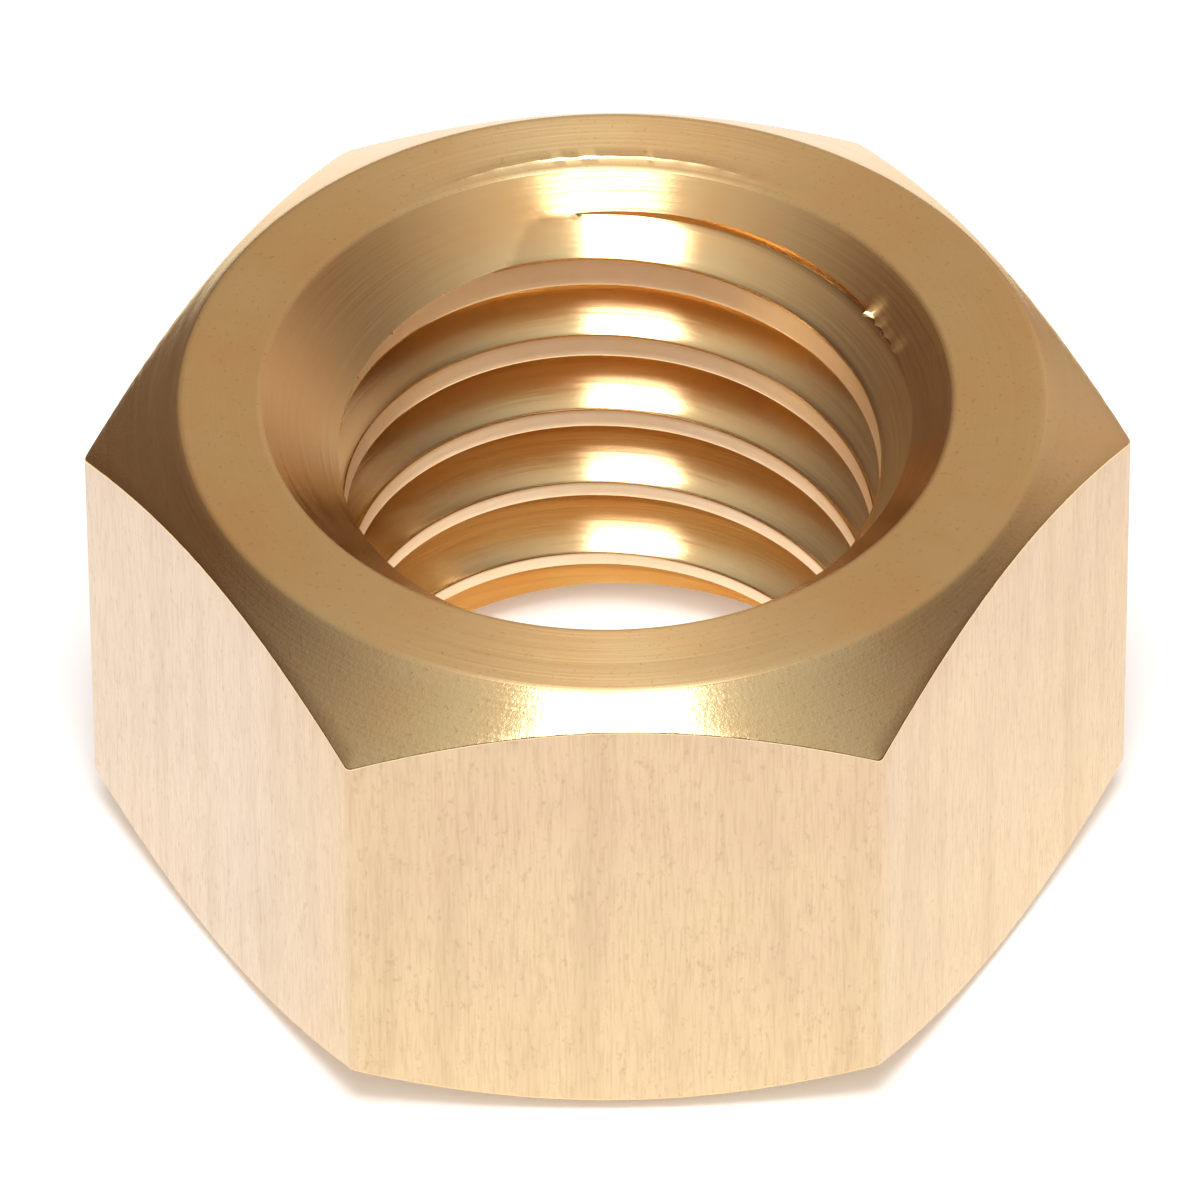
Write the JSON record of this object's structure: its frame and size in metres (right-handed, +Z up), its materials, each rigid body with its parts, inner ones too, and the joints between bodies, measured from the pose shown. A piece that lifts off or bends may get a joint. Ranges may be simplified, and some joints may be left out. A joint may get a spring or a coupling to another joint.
{
  "type": "hex nut",
  "caption": "Finished hexagon nut in plain brass, corners bevelled at both ends, with a countersunk right-hand threaded hole through its centre.",
  "frame": {"origin": "centre of the lower bearing face, on the thread axis", "axes": "+Z up the thread axis, +X towards a hexagon corner, +Y square to a pair of wrench flats"},
  "size_m": [0.0218, 0.0188, 0.0113],
  "materials": {
    "brass": "machined satin"
  },
  "bodies": {
    "root": {"hex_nut": "brass"}
  },
  "joints": []
}
